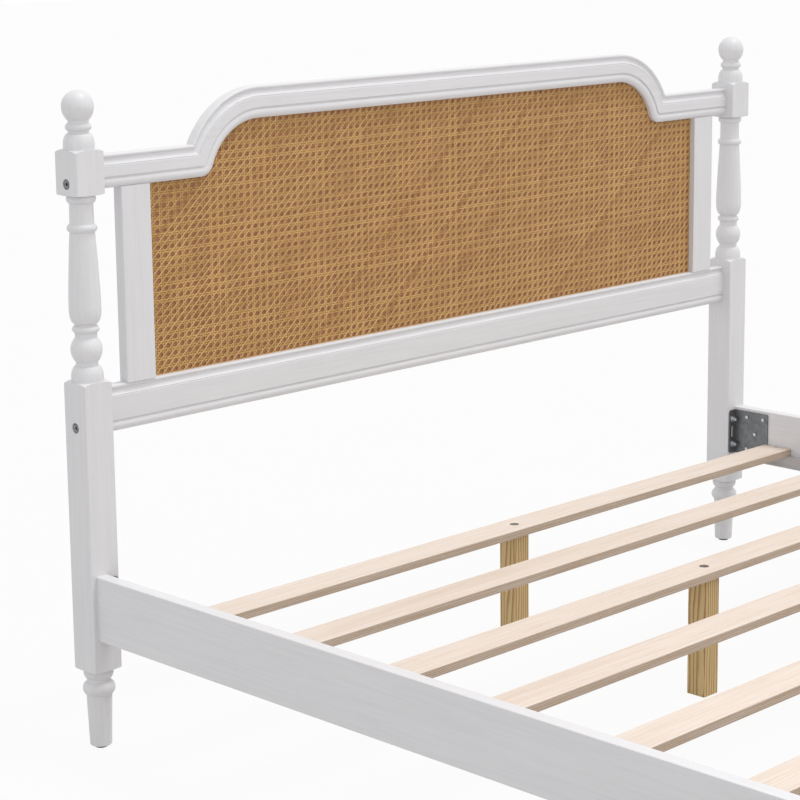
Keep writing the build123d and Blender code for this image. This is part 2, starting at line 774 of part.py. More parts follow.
for side_name, side in sides:
    with BuildPart() as headboard_stile:
        with BuildSketch(Plane.XY.offset(bottom_rail_top)) as stile_section:
            with Locations((side * stile_middle, frame_middle)):
                Rectangle(stile_width, frame_thickness)
            chamfer(stile_section.vertices(), stile_edge)
        extrude(amount=shoulder_bottom - bottom_rail_top)
        cut_rebate()
        cut_pin_holes([place for place in stile_pin_places if place[0] * side > 0])
        ends_of_dowels = [(side * x, frame_middle) for x in stile_dowel_xs]
        hole = dowel_length / 2 + 1.0
        rod_z(
            bottom_rail_top, bottom_rail_top + hole, ends_of_dowels, dowel_radius + fit_clearance,
            Mode.SUBTRACT,
        )
        rod_z(
            shoulder_bottom, shoulder_bottom - hole, ends_of_dowels, dowel_radius + fit_clearance,
            Mode.SUBTRACT,
        )
    save(headboard_stile.part, f"headboard_stile_{side_name}")

# Rattan panel and backing board

with BuildPart() as rattan_panel:
    extrude(opening_outline(rattan_front, panel_margin), amount=-rattan_thickness)
    rod_y(rattan_front, rattan_back, all_pins, pin_radius + fit_clearance, Mode.SUBTRACT)
save(rattan_panel.part, "rattan_panel")

with BuildPart() as backing_board:
    extrude(opening_outline(rattan_back, panel_margin), amount=-board_thickness)
    rod_y(rattan_back, board_back, all_pins, pin_radius + fit_clearance, Mode.SUBTRACT)
save(backing_board.part, "backing_board")

with BuildPart() as panel_pins:
    rod_y(board_back - pin_length, board_back, all_pins, pin_radius)
    rod_y(board_back, board_back + pin_head_thickness, all_pins, pin_head_radius)
save(panel_pins.part, "panel_pins")

# Dowels

with BuildPart() as stile_dowels:
    for joint in (bottom_rail_top, shoulder_bottom):
        rod_z(joint - dowel_length / 2, joint + dowel_length / 2, stile_tops, dowel_radius)
save(stile_dowels.part, "stile_dowels")

for end_name, middle_y, dowel_zs in (
    ("headboard", frame_middle, head_dowel_zs), ("foot", foot_rail_middle, foot_dowel_zs)
):
    with BuildPart() as rail_dowels:
        for side in (-1, 1):
            near = side * (post_inner - dowel_length / 2)
            far = side * (post_inner + dowel_length / 2)
            rod_x(near, far, [(middle_y, z) for z in dowel_zs], dowel_radius)
    save(rail_dowels.part, f"{end_name}_rail_dowels")

# Bolts through the posts and the barrel nuts they screw into

for end_name, middle_y, bolt_zs in (
    ("headboard", frame_middle, head_bolt_zs), ("foot_rail", foot_rail_middle, foot_bolt_zs)
):
    bolt_places = [(middle_y, z) for z in bolt_zs]
    with BuildPart() as post_bolts:
        for side in (-1, 1):
            seat = side * (post_outer - counterbore_depth)
            crown = seat + side * bolt_head_thickness
            rod_x(seat, seat - side * bolt_length, bolt_places, bolt_radius)
            rod_x(seat, crown, bolt_places, bolt_head_radius)
            with BuildSketch(across(crown)):
                with Locations(*bolt_places):
                    RegularPolygon(bolt_socket_size / 2, 6, major_radius=False)
            extrude(amount=-side * bolt_socket_depth, mode=Mode.SUBTRACT)
    save(post_bolts.part, f"{end_name}_bolts")
    with BuildPart() as barrel_nuts:
        for side in (-1, 1):
            nut_x = side * (post_inner - barrel_nut_inset)
            nut_front = middle_y - barrel_nut_past_bolt
            rod_y(
                nut_front + barrel_nut_length, nut_front, [(nut_x, z) for z in bolt_zs],
                barrel_nut_radius,
            )
            reach = barrel_nut_radius + 1.0
            rod_x(
                nut_x - reach, nut_x + reach, bolt_places, bolt_radius + fit_clearance, Mode.SUBTRACT
            )
    save(barrel_nuts.part, f"{end_name}_barrel_nuts")

# Side rails and slat ledges

for side_name, side in sides:
    screw_xs = side * half_width
    with BuildPart() as side_rail:
        with BuildSketch(facing(foot_face)) as rail_section:
            with Locations((side * rail_middle_x, rail_bottom + rail_height / 2)):
                Rectangle(rail_thickness, rail_height)
            fillet(rail_section.vertices(), rail_edge)
        extrude(amount=-inner_length)
        screw_places = [
            (end * (head_face - y), z) for end in (-1, 1) for y, z in bracket_screws
        ]
        depth = bracket_screw_length - bracket_thickness + 1.0
        rod_x(
            screw_xs, screw_xs + side * depth, screw_places, screw_radius + fit_clearance, Mode.SUBTRACT
        )
        ledge_places = [
            (ledge_half_length * (2 * (i + 0.5) / ledge_screw_count - 1), ledge_middle_z)
            for i in range(ledge_screw_count)
        ]
        depth = ledge_screw_length - ledge_width + 1.0
        rod_x(
            screw_xs, screw_xs + side * depth, ledge_places, screw_radius + fit_clearance, Mode.SUBTRACT
        )
    save(side_rail.part, f"side_rail_{side_name}")

    slat_screw_x = side * (half_width - slat_end_gap - slat_screw_inset)
    with BuildPart() as slat_ledge:
        with BuildSketch(facing(-ledge_half_length)) as ledge_section:
            with Locations((side * ledge_middle_x, ledge_middle_z)):
                Rectangle(ledge_width, ledge_height)
            chamfer(ledge_section.vertices(), ledge_edge)
        extrude(amount=-2 * ledge_half_length)
        inner_face = side * (half_width - ledge_width)
        rod_x(
            inner_face, screw_xs, ledge_places, screw_radius + fit_clearance, Mode.SUBTRACT
        )
        rod_x(
            inner_face, inner_face + side * screw_head_thickness, ledge_places,
            screw_head_radius + fit_clearance, Mode.SUBTRACT,
        )
        depth = slat_screw_length - slat_thickness + 1.0
        rod_z(
            slat_bottom, slat_bottom - depth, [(slat_screw_x, y) for y in slat_ys],
            screw_radius + fit_clearance, Mode.SUBTRACT,
        )
    save(slat_ledge.part, f"slat_ledge_{side_name}")

with BuildPart() as ledge_screws:
    for side in (-1, 1):
        inner_face = side * (half_width - ledge_width)
        rod_x(inner_face, inner_face + side * ledge_screw_length, ledge_places, screw_radius)
        rod_x(inner_face, inner_face + side * screw_head_thickness, ledge_places, screw_head_radius)
save(ledge_screws.part, "ledge_screws")

# Foot rail

with BuildPart() as foot_rail:
    with BuildSketch(across(-post_inner)) as foot_rail_section:
        with Locations((foot_rail_middle, rail_bottom + rail_height / 2)):
            Rectangle(rail_thickness, rail_height)
        fillet(foot_rail_section.vertices(), rail_edge)
    extrude(amount=2 * post_inner)
    rail_end_bores(
        post_inner, foot_rail_middle, foot_rail_front + rail_thickness, foot_bolt_zs, foot_dowel_zs
    )
save(foot_rail.part, "foot_rail")

# Corner brackets: a leaf on the rail's inner face, bent round to a leaf on the post

for end_name, end in ends:
    for side_name, side in sides:
        face = end * head_face
        inner = side * half_width
        with BuildPart() as bracket:
            with BuildSketch(Plane.XY.offset(bracket_bottom)) as angle:
                with BuildLine():
                    Polyline(
                        (inner, face - end * bracket_rail_leaf),
                        (inner, face),
                        (inner - side * bracket_post_leaf, face),
                        (inner - side * bracket_post_leaf, face - end * bracket_thickness),
                        (inner - side * bracket_thickness, face - end * bracket_thickness),
                        (inner - side * bracket_thickness, face - end * bracket_rail_leaf),
                        (inner, face - end * bracket_rail_leaf),
                    )
                make_face()
                fillet(angle.vertices().sort_by_distance((inner, face))[0], bracket_bend_radius)
            extrude(amount=bracket_height)
            leaf_tip = inner - side * bracket_post_leaf
            fillet(
                bracket.edges().filter_by(Axis.Y).filter_by(
                    lambda edge: abs(edge.center().X - leaf_tip) < 0.1
                ),
                bracket_corner,
            )
            leaf_end = face - end * bracket_rail_leaf
            fillet(
                bracket.edges().filter_by(Axis.X).filter_by(
                    lambda edge: abs(edge.center().Y - leaf_end) < 0.1
                ),
                bracket_corner / 2,
            )
            rod_x(
                inner, inner - side * (bracket_thickness + 1.0),
                [(face - end * y, z) for y, z in bracket_screws],
                screw_radius + fit_clearance, Mode.SUBTRACT,
            )
            bolt_places = [(side * bracket_bolt_x, z) for z in bracket_bolt_zs]
            rod_y(
                face, face - end * (bracket_thickness + 1.0), bolt_places,
                stud_radius + fit_clearance, Mode.SUBTRACT,
            )
            with BuildSketch(facing(face)):
                with Locations((side * bracket_bolt_x, bracket_middle_z)):
                    SlotOverall(bracket_slot_length, bracket_slot_width, rotation=90)
            extrude(amount=end * (bracket_thickness + 1.0), mode=Mode.SUBTRACT)
        save(bracket.part, f"{end_name}_bracket_{side_name}")

with BuildPart() as bracket_screw_group:
    for end_name, end in ends:
        for side in (-1, 1):
            leaf = side * (half_width - bracket_thickness)
            places = [(end * (head_face - y), z) for y, z in bracket_screws]
            rod_x(leaf, leaf + side * bracket_screw_length, places, screw_radius)
            rod_x(leaf, leaf - side * screw_head_thickness, places, screw_head_radius)
save(bracket_screw_group.part, "bracket_screws")

# Hanger bolts in the posts, with a washer and a nut on each

bolt_spots = [(side * bracket_bolt_x, z) for side in (-1, 1) for z in bracket_bolt_zs]
with BuildPart() as bracket_studs:
    for end_name, end in ends:
        face = end * head_face
        rod_y(face + end * stud_depth, face - end * stud_reach, bolt_spots, stud_radius)
save(bracket_studs.part, "bracket_studs")

with BuildPart() as bracket_washers:
    for end_name, end in ends:
        leaf = end * (head_face - bracket_thickness)
        rod_y(leaf, leaf - end * washer_thickness, bolt_spots, washer_radius)
        rod_y(
            leaf, leaf - end * washer_thickness, bolt_spots, stud_radius + fit_clearance, Mode.SUBTRACT
        )
save(bracket_washers.part, "bracket_washers")

with BuildPart() as bracket_nuts:
    for end_name, end in ends:
        seat = end * (head_face - bracket_thickness - washer_thickness)
        with BuildSketch(facing(seat)):
            with Locations(*bolt_spots):
                RegularPolygon(nut_size / 2, 6, major_radius=False)
                Circle(stud_radius + fit_clearance, mode=Mode.SUBTRACT)
        extrude(amount=end * nut_thickness)
save(bracket_nuts.part, "bracket_nuts")

# Slats, numbered from the head, with a screw at each end

for i, y in enumerate(slat_ys):
    with BuildPart() as slat:
        with BuildSketch(across(-slat_length / 2)) as slat_section:
            with Locations((y, slat_bottom + slat_thickness / 2)):
                Rectangle(slat_width, slat_thickness)
            fillet(slat_section.vertices(), slat_edge)
        extrude(amount=slat_length)
        screw_x = slat_length / 2 - slat_screw_inset
        spots = [(side * screw_x, y) for side in (-1, 1)]
        rod_z(slat_bottom, slat_top, spots, screw_radius + fit_clearance, Mode.SUBTRACT)
        rod_z(
            slat_top, slat_top - screw_head_thickness, spots, screw_head_radius + fit_clearance,
            Mode.SUBTRACT,
        )
        if y in leg_ys:
            leg_spot = [(leg_offsets[leg_ys.index(y)], y)]
            rod_z(slat_bottom, slat_top, leg_spot, bolt_radius + fit_clearance, Mode.SUBTRACT)
            rod_z(
                slat_top, slat_top - leg_bolt_sink_depth, leg_spot, leg_bolt_sink_radius, Mode.SUBTRACT
            )
    save(slat.part, f"slat_{i + 1}")

with BuildPart() as slat_screws:
    spots = [(side * (slat_length / 2 - slat_screw_inset), y) for side in (-1, 1) for y in slat_ys]
    rod_z(slat_top, slat_top - slat_screw_length, spots, screw_radius)
    rod_z(slat_top, slat_top - screw_head_thickness, spots, screw_head_radius)
save(slat_screws.part, "slat_screws")

# Support legs under slats 1, 3, 5 and 7, each hung on one bolt through its slat

for i, (x, y) in enumerate(zip(leg_offsets, leg_ys)):
    with BuildPart() as support_leg:
        with BuildSketch() as leg_section:
            with Locations((x, y)):
                Rectangle(leg_size, leg_size)
            chamfer(leg_section.vertices(), leg_edge)
        extrude(amount=slat_bottom)
        seat = slat_top - leg_bolt_sink_depth
        rod_z(
            slat_bottom, seat - leg_bolt_length - 1.0, [(x, y)], bolt_radius + fit_clearance,
            Mode.SUBTRACT,
        )
    save(support_leg.part, f"support_leg_{i + 1}")

with BuildPart() as leg_bolts:
    seat = slat_top - leg_bolt_sink_depth
    spots = list(zip(leg_offsets, leg_ys))
    rod_z(seat, seat - leg_bolt_length, spots, bolt_radius)
    rod_z(seat, seat + leg_bolt_head_thickness, spots, leg_bolt_head_radius)
save(leg_bolts.part, "leg_bolts")
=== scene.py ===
"""Rattan platform bed: its finishes, cane webbing and studio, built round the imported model.

Sizes are in metres in the bed's own frame: the origin on the floor under the middle of the bed, +Y to the
headboard, +X to the right of someone at the foot, +Z up.
"""

from __future__ import annotations

import logging
import math
from dataclasses import dataclass, field
from enum import Enum

import bpy
import numpy as np
from mathutils import Matrix, Vector

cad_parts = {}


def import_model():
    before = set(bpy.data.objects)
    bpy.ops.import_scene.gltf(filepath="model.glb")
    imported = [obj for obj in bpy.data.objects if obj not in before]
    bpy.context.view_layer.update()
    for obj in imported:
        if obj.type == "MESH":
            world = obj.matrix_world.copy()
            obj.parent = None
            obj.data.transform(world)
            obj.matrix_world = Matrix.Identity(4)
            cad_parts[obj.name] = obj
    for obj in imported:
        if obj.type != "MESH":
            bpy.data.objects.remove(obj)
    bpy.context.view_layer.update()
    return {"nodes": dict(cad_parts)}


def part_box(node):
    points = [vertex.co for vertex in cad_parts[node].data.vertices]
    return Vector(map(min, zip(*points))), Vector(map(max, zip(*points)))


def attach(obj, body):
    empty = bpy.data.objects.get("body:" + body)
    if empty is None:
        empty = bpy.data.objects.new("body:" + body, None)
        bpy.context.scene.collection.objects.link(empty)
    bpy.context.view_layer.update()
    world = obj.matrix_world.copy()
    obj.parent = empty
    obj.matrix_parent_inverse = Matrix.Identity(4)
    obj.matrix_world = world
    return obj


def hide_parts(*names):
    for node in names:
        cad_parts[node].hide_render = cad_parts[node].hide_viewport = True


log = logging.getLogger("bed")

Colour = tuple[float, float, float]
Socket = bpy.types.NodeSocket


class Grain(Enum):
    """The way the fibres of a board run, as an axis of the bed's frame."""

    ACROSS = 0
    ALONG = 1
    UPRIGHT = 2


def from_screen(red: int, green: int, blue: int) -> Colour:
    """A screen colour as the light it stands for.

    Args:
        red, green, blue: the colour as 0 to 255.

    Returns:
        The linear colour.
    """

    def linear(value: int) -> float:
        """One part of the colour as light."""
        share = value / 255
        return share / 12.92 if share <= 0.04045 else ((share + 0.055) / 1.055) ** 2.4

    return linear(red), linear(green), linear(blue)


class Recipe:
    """A material's node tree, with short names for the few nodes that the finishes use."""

    def __init__(self, name: str) -> None:
        """Start an empty material with one principled shader.

        Args:
            name: the material's name.
        """
        self.material = bpy.data.materials.new(name)
        self.material.use_nodes = True
        self.tree = self.material.node_tree
        self.shader = self.tree.nodes["Principled BSDF"]
        self._place: Socket | None = None

    def node(self, kind: str, **settings: object) -> bpy.types.Node:
        """A new node of one kind, with its own settings filled in.

        Args:
            kind: Blender's name for the kind of node.
            settings: values for the node's own properties.

        Returns:
            The node.
        """
        made = self.tree.nodes.new(kind)
        for key, value in settings.items():
            setattr(made, key, value)
        return made

    def feed(self, socket: Socket, value: Socket | float | tuple) -> None:
        """Join a socket to another, or set it when the value is plain.

        Args:
            socket: the input to fill.
            value: an output to read from, or a number, vector or colour to set.
        """
        if isinstance(value, bpy.types.NodeSocket):
            self.tree.links.new(value, socket)
        elif isinstance(value, tuple) and len(value) == 3 and socket.type == "RGBA":
            socket.default_value = (*value, 1.0)
        else:
            socket.default_value = value

    def place(self) -> Socket:
        """The point on the bed that is shaded, in metres.

        Returns:
            One output, made on first use and shared by all of the material's patterns.
        """
        if self._place is None:
            self._place = self.node("ShaderNodeTexCoord").outputs["Object"]
        return self._place

    def facing(self) -> tuple[Socket, Socket, Socket]:
        """The direction the surface faces.

        Returns:
            Its parts along x, y and z.
        """
        split = self.node("ShaderNodeSeparateXYZ")
        self.feed(split.inputs[0], self.node("ShaderNodeTexCoord").outputs["Normal"])
        return tuple(split.outputs)

    def axes(self) -> tuple[Socket, Socket, Socket]:
        """The shaded point.

        Returns:
            Its x, y and z in metres.
        """
        split = self.node("ShaderNodeSeparateXYZ")
        self.feed(split.inputs[0], self.place())
        return tuple(split.outputs)

    def stretched(self, scale: Colour, shift: Colour = (0.0, 0.0, 0.0)) -> Socket:
        """The shaded point after a separate scale on each axis, and a shift.

        Args:
            scale: what each coordinate is multiplied by.
            shift: what is then added to each.

        Returns:
            The new point.
        """
        mapping = self.node("ShaderNodeMapping")
        self.feed(mapping.inputs["Vector"], self.place())
        self.feed(mapping.inputs["Scale"], scale)
        self.feed(mapping.inputs["Location"], shift)
        return mapping.outputs[0]

    def noise(self, where: Socket, scale: float, detail: float = 3.0, rough: float = 0.55) -> Socket:
        """Fractal noise from 0 to 1 at a place.

        Args:
            where: the point to read it at.
            scale: features per unit of that point.
            detail: how many finer layers are added.
            rough: how strong the finer layers are.

        Returns:
            The noise.
        """
        made = self.node("ShaderNodeTexNoise")
        for key, value in (("Vector", where), ("Scale", scale), ("Detail", detail), ("Roughness", rough)):
            self.feed(made.inputs[key], value)
        return made.outputs["Fac"]

    def sums(self, operation: str, first: Socket | float, second: Socket | float = 0.0) -> Socket:
        """One step of arithmetic on numbers.

        Args:
            operation: Blender's name for the step.
            first: the first number.
            second: the second number, where the step has one.

        Returns:
            The result.
        """
        made = self.node("ShaderNodeMath", operation=operation)
        self.feed(made.inputs[0], first)
        self.feed(made.inputs[1], second)
        return made.outputs[0]

    def spread(self, value: Socket, low: float, high: float, to_low: float = 0.0, to_high: float = 1.0) -> Socket:
        """A number carried smoothly from one range to another and held at its ends.

        Args:
            value: the number.
            low: where the first range begins.
            high: where the first range ends.
            to_low: what the beginning becomes.
            to_high: what the end becomes.

        Returns:
            The number in the second range.
        """
        made = self.node("ShaderNodeMapRange", interpolation_type="SMOOTHSTEP")
        self.feed(made.inputs[0], value)
        for index, number in enumerate((low, high, to_low, to_high), start=1):
            self.feed(made.inputs[index], number)
        return made.outputs[0]

    def blend(self, share: Socket | float, first: Socket | Colour, second: Socket | Colour) -> Socket:
        """A colour between two others.

        Args:
            share: 0 for the first colour, 1 for the second.
            first: the first colour.
            second: the second colour.

        Returns:
            The blend.
        """
        made = self.node("ShaderNodeMix", data_type="RGBA")
        self.feed(made.inputs["Factor"], share)
        self.feed(made.inputs[6], first)
        self.feed(made.inputs[7], second)
        return made.outputs[2]

    def relief(self, height: Socket, depth: float) -> Socket:
        """A surface that rises and falls with a pattern.

        Args:
            height: the pattern, from 0 to 1.
            depth: how deep it is, in metres.

        Returns:
            The direction that such a surface faces.
        """
        made = self.node("ShaderNodeBump")
        self.feed(made.inputs["Height"], height)
        self.feed(made.inputs["Distance"], depth)
        return made.outputs[0]

    def finish(self, colour: Socket | Colour, rough: Socket | float, normal: Socket | None = None,
               metal: float = 0.0, gloss: float = 0.5) -> bpy.types.Material:
        """Give the shader all it needs.

        Args:
            colour: the surface's colour.
            rough: 0 for a mirror, 1 for chalk.
            normal: the direction the relief faces, where there is relief.
            metal: 1 for bare metal, 0 for anything else.
            gloss: how strongly a surface that isn't metal reflects.

        Returns:
            The finished material.
        """
        self.feed(self.shader.inputs["Base Color"], colour)
        self.feed(self.shader.inputs["Roughness"], rough)
        self.feed(self.shader.inputs["Metallic"], metal)
        self.feed(self.shader.inputs["Specular IOR Level"], gloss)
        if normal is not None:
            self.feed(self.shader.inputs["Normal"], normal)
        return self.material


def along(grain: Grain, length: float, width: float) -> Colour:
    """Scales that stretch a pattern along the grain.

    Args:
        grain: the way the fibres run.
        length: features per metre along them.
        width: features per metre across them.

    Returns:
        A scale for each axis.
    """
    scale = [width, width, width]
    scale[grain.value] = length
    return tuple(scale)


# In the finishes below, a pair such as brush or fibre is how many features a metre holds along the grain and
# across it, a single number such as cloud or fleck is how many it holds each way, rough is the range of the
# roughness, and depth is the relief's depth in metres.


@dataclass(frozen=True)
class SatinPaint:
    """White satin paint brushed on wood: faint streaks along the grain, a trace of the pores."""

    name: str
    grain: Grain
    light: Colour = from_screen(223, 222, 224)
    shade: Colour = from_screen(217, 216, 218)
    roughness: float = 0.42
    brush: tuple[float, float] = (5, 160)
    pore: tuple[float, float] = (35, 1500)
    cloud: float = 7.0
    depth: float = 0.00014

    def material(self) -> bpy.types.Material:
        """Mix the paint.

        Returns:
            The material.
        """
        mix = Recipe(self.name)
        streaks = mix.noise(mix.stretched(along(self.grain, *self.brush)), 1.0, 4.0, 0.6)
        clouds = mix.noise(mix.place(), self.cloud, 2.0)
        pores = mix.noise(mix.stretched(along(self.grain, *self.pore)), 1.0, 2.0)
        share = mix.sums("ADD", mix.spread(streaks, 0.34, 0.72, 0.0, 0.75), mix.spread(clouds, 0.3, 0.7, 0.0, 0.25))
        colour = mix.blend(share, self.light, self.shade)
        height = mix.sums("ADD", mix.sums("MULTIPLY", streaks, 0.6), mix.sums("MULTIPLY", pores, 0.4))
        rough = mix.spread(streaks, 0.2, 0.8, self.roughness - 0.06, self.roughness + 0.08)
        return mix.finish(colour, rough, mix.relief(height, self.depth))


@dataclass(frozen=True)
class CaneSkin:
    """The glossy skin of split rattan: each strand has its own tone, with fine fibres along it."""

    name: str
    pale: Colour
    deep: Colour
    stain: Colour = from_screen(150, 98, 54)
    blotch: float = 26.0
    fleck: float = 420.0
    rough: tuple[float, float] = (0.36, 0.52)
    depth: float = 0.0002

    def material(self) -> bpy.types.Material:
        """Mix the cane, which reads each strand's own tone.

        Returns:
            The material.
        """
        mix = Recipe(self.name)
        tone = mix.node("ShaderNodeAttribute", attribute_name="strand_tone").outputs["Fac"]
        blotch = mix.noise(mix.place(), self.blotch, 3.0)
        flecks = mix.noise(mix.place(), self.fleck, 2.0)
        share = mix.sums("ADD", mix.sums("MULTIPLY", tone, 0.7), mix.spread(blotch, 0.3, 0.75, 0.0, 0.3))
        colour = mix.blend(share, self.pale, self.deep)
        colour = mix.blend(mix.spread(tone, 0.93, 0.96, 0.0, 0.5), colour, self.stain)
        colour = mix.blend(mix.spread(flecks, 0.58, 0.76, 0.0, 0.55), colour, self.stain)
        return mix.finish(colour, mix.spread(flecks, 0.3, 0.7, *self.rough), mix.relief(flecks, self.depth))


@dataclass(frozen=True)
class StainedBoard:
    """Thin stained board behind the cane."""

    name: str = "backing"
    light: Colour = from_screen(184, 132, 95)
    dark: Colour = from_screen(148, 100, 64)
    fibre: tuple[float, float] = (12, 420)
    roughness: float = 0.7
    depth: float = 0.0002

    def material(self) -> bpy.types.Material:
        """Mix the board's stain and fibres.

        Returns:
            The material.
        """
        mix = Recipe(self.name)
        fibres = mix.noise(mix.stretched(along(Grain.ACROSS, *self.fibre)), 1.0, 3.0)
        colour = mix.blend(mix.spread(fibres, 0.3, 0.7), self.light, self.dark)
        return mix.finish(colour, self.roughness, mix.relief(fibres, self.depth))


@dataclass(frozen=True)
class SlatWood:
    """Laminated pale slat: a planed top with long grain, sawn edges that show the plies. The sides are darker than
    the top, partly from the sawn wood's own tone and partly from painted shade.
    """

    name: str = "slat_wood"
    face: Colour = from_screen(227, 214, 203)
    streak: Colour = from_screen(207, 187, 168)
    edge: Colour = from_screen(184, 161, 138)
    glue: Colour = from_screen(122, 98, 78)
    ply: float = 0.0034
    ply_wave: float = 0.0012
    drift: tuple[float, float] = (1.6, 30)
    fibre: tuple[float, float] = (6, 420)
    heart: tuple[float, float] = (1.1, 14)
    wave: tuple[float, float] = (3, 60)
    rough: tuple[float, float] = (0.5, 0.64)
    gloss: float = 0.35
    depth: float = 0.0004

    def material(self) -> bpy.types.Material:
        """Mix the planed faces with the sawn edges, where the plies show.

        Returns:
            The material.
        """
        mix = Recipe(self.name)
        up = mix.axes()[2]
        drift = mix.noise(mix.stretched(along(Grain.ACROSS, *self.drift)), 1.0, 3.0)
        grain = mix.noise(mix.stretched(along(Grain.ACROSS, *self.fibre)), 1.0, 4.0, 0.62)
        heart = mix.noise(mix.stretched(along(Grain.ACROSS, *self.heart), (3.0, 0.0, 0.0)), 1.0, 2.0)
        top = mix.blend(mix.spread(grain, 0.36, 0.74, 0.0, 0.7), self.face, self.streak)
        top = mix.blend(mix.spread(heart, 0.56, 0.78, 0.0, 0.65), top, self.streak)
        top = mix.blend(mix.spread(drift, 0.62, 0.8, 0.0, 0.5), top, self.edge)
        waves = mix.noise(mix.stretched(along(Grain.ACROSS, *self.wave)), 1.0, 2.0)
        wobble = mix.sums("MULTIPLY", waves, self.ply_wave)
        layer = mix.sums("FRACT", mix.sums("DIVIDE", mix.sums("ADD", up, wobble), self.ply))
        line = mix.sums("MULTIPLY", mix.spread(layer, 0.12, 0.3, 1.0, 0.0), mix.spread(layer, 0.0, 0.02))
        side = mix.blend(mix.spread(grain, 0.3, 0.7, 0.0, 0.45), self.edge, self.face)
        side = mix.blend(mix.sums("MULTIPLY", line, 0.75), side, self.glue)
        # The sides take the darker edge colour according to the way they face: partly the sawn edge's own tone,
        # partly painted shade from the light above.
        shaded_side_share = mix.spread(mix.sums("ABSOLUTE", mix.facing()[2]), 0.45, 0.75, 1.0, 0.0)
        rough = mix.spread(grain, 0.3, 0.7, *self.rough)
        return mix.finish(mix.blend(shaded_side_share, top, side), rough, mix.relief(grain, self.depth), gloss=self.gloss)


@dataclass(frozen=True)
class PineLeg:
    """Sawn pine with dark late-wood rings that run up the leg."""

    name: str = "leg_wood"
    pale: Colour = from_screen(214, 187, 136)
    ring: Colour = from_screen(151, 110, 63)
    ring_pitch: float = 0.0065
    ring_slant: tuple[float, float] = (0.9, 0.55)
    ring_sway: float = 0.02
    sway: tuple[float, float] = (3.5, 22)
    fibre: tuple[float, float] = (14, 700)
    roughness: float = 0.62
    gloss: float = 0.35
    depth: float = 0.0004

    def material(self) -> bpy.types.Material:
        """Mix the wood, with rings that repeat across the leg and sway along it.

        Returns:
            The material.
        """
        mix = Recipe(self.name)
        across, ahead = (mix.sums("MULTIPLY", axis, share) for axis, share in zip(mix.axes(), self.ring_slant))
        sway = mix.noise(mix.stretched(along(Grain.UPRIGHT, *self.sway)), 1.0, 2.0)
        reach = mix.sums("ADD", mix.sums("ADD", across, ahead), mix.sums("MULTIPLY", sway, self.ring_sway))
        phase = mix.sums("FRACT", mix.sums("DIVIDE", reach, self.ring_pitch))
        ring = mix.sums("MULTIPLY", mix.spread(phase, 0.35, 0.9), mix.spread(phase, 0.93, 1.0, 1.0, 0.0))
        fibres = mix.noise(mix.stretched(along(Grain.UPRIGHT, *self.fibre)), 1.0, 3.0)
        colour = mix.blend(mix.sums("MULTIPLY", ring, 0.8), self.pale, self.ring)
        colour = mix.blend(mix.spread(fibres, 0.45, 0.8, 0.0, 0.35), colour, self.ring)
        return mix.finish(colour, self.roughness, mix.relief(fibres, self.depth), gloss=self.gloss)


@dataclass(frozen=True)
class PlainTimber:
    """Turned hardwood dowel with straight pores along it."""

    name: str
    grain: Grain
    pale: Colour = from_screen(214, 182, 138)
    dark: Colour = from_screen(186, 148, 104)
    fibre: tuple[float, float] = (30, 900)
    roughness: float = 0.6
    depth: float = 0.0002

    def material(self) -> bpy.types.Material:
        """Mix the dowel's wood.

        Returns:
            The material.
        """
        mix = Recipe(self.name)
        fibres = mix.noise(mix.stretched(along(self.grain, *self.fibre)), 1.0, 3.0)
        colour = mix.blend(fibres, self.pale, self.dark)
        return mix.finish(colour, self.roughness, mix.relief(fibres, self.depth))


@dataclass(frozen=True)
class PlatedSteel:
    """Pressed or turned steel with a zinc finish, a little uneven and scuffed. On the bolts, the darker colour and
    the wide mottle are painted dark reflections.
    """

    name: str
    light: Colour
    dark: Colour
    roughness: float
    metal: float = 1.0
    cloud: float = 90.0
    scuff: tuple[float, float] = (120, 900)
    depth: float = 0.00006

    def material(self) -> bpy.types.Material:
        """Mix the steel.

        Returns:
            The material.
        """
        mix = Recipe(self.name)
        cloud = mix.noise(mix.place(), self.cloud, 4.0, 0.6)
        scuff = mix.noise(mix.stretched(along(Grain.UPRIGHT, *self.scuff)), 1.0, 2.0)
        colour = mix.blend(mix.spread(cloud, 0.3, 0.7), self.light, self.dark)
        rough = mix.sums("ADD", mix.spread(cloud, 0.3, 0.7, self.roughness - 0.08, self.roughness + 0.08),
                         mix.spread(scuff, 0.5, 0.8, 0.0, 0.1))
        return mix.finish(colour, rough, mix.relief(scuff, self.depth), metal=self.metal)


@dataclass(frozen=True)
class MouldedPlastic:
    """Black moulded plastic with a fine spark-eroded texture."""

    name: str = "black_plastic"
    colour: Colour = from_screen(20, 20, 21)
    worn: Colour = from_screen(34, 34, 36)
    grit: float = 2200.0
    scuff: float = 120.0
    rough: tuple[float, float] = (0.5, 0.65)
    gloss: float = 0.2
    depth: float = 0.00012

    def material(self) -> bpy.types.Material:
        """Mix the plastic.

        Returns:
            The material.
        """
        mix = Recipe(self.name)
        grit = mix.noise(mix.place(), self.grit, 2.0)
        scuff = mix.noise(mix.place(), self.scuff, 3.0)
        colour = mix.blend(mix.spread(scuff, 0.5, 0.75, 0.0, 0.6), self.colour, self.worn)
        rough = mix.spread(grit, 0.3, 0.7, *self.rough)
        return mix.finish(colour, rough, mix.relief(grit, self.depth), gloss=self.gloss)


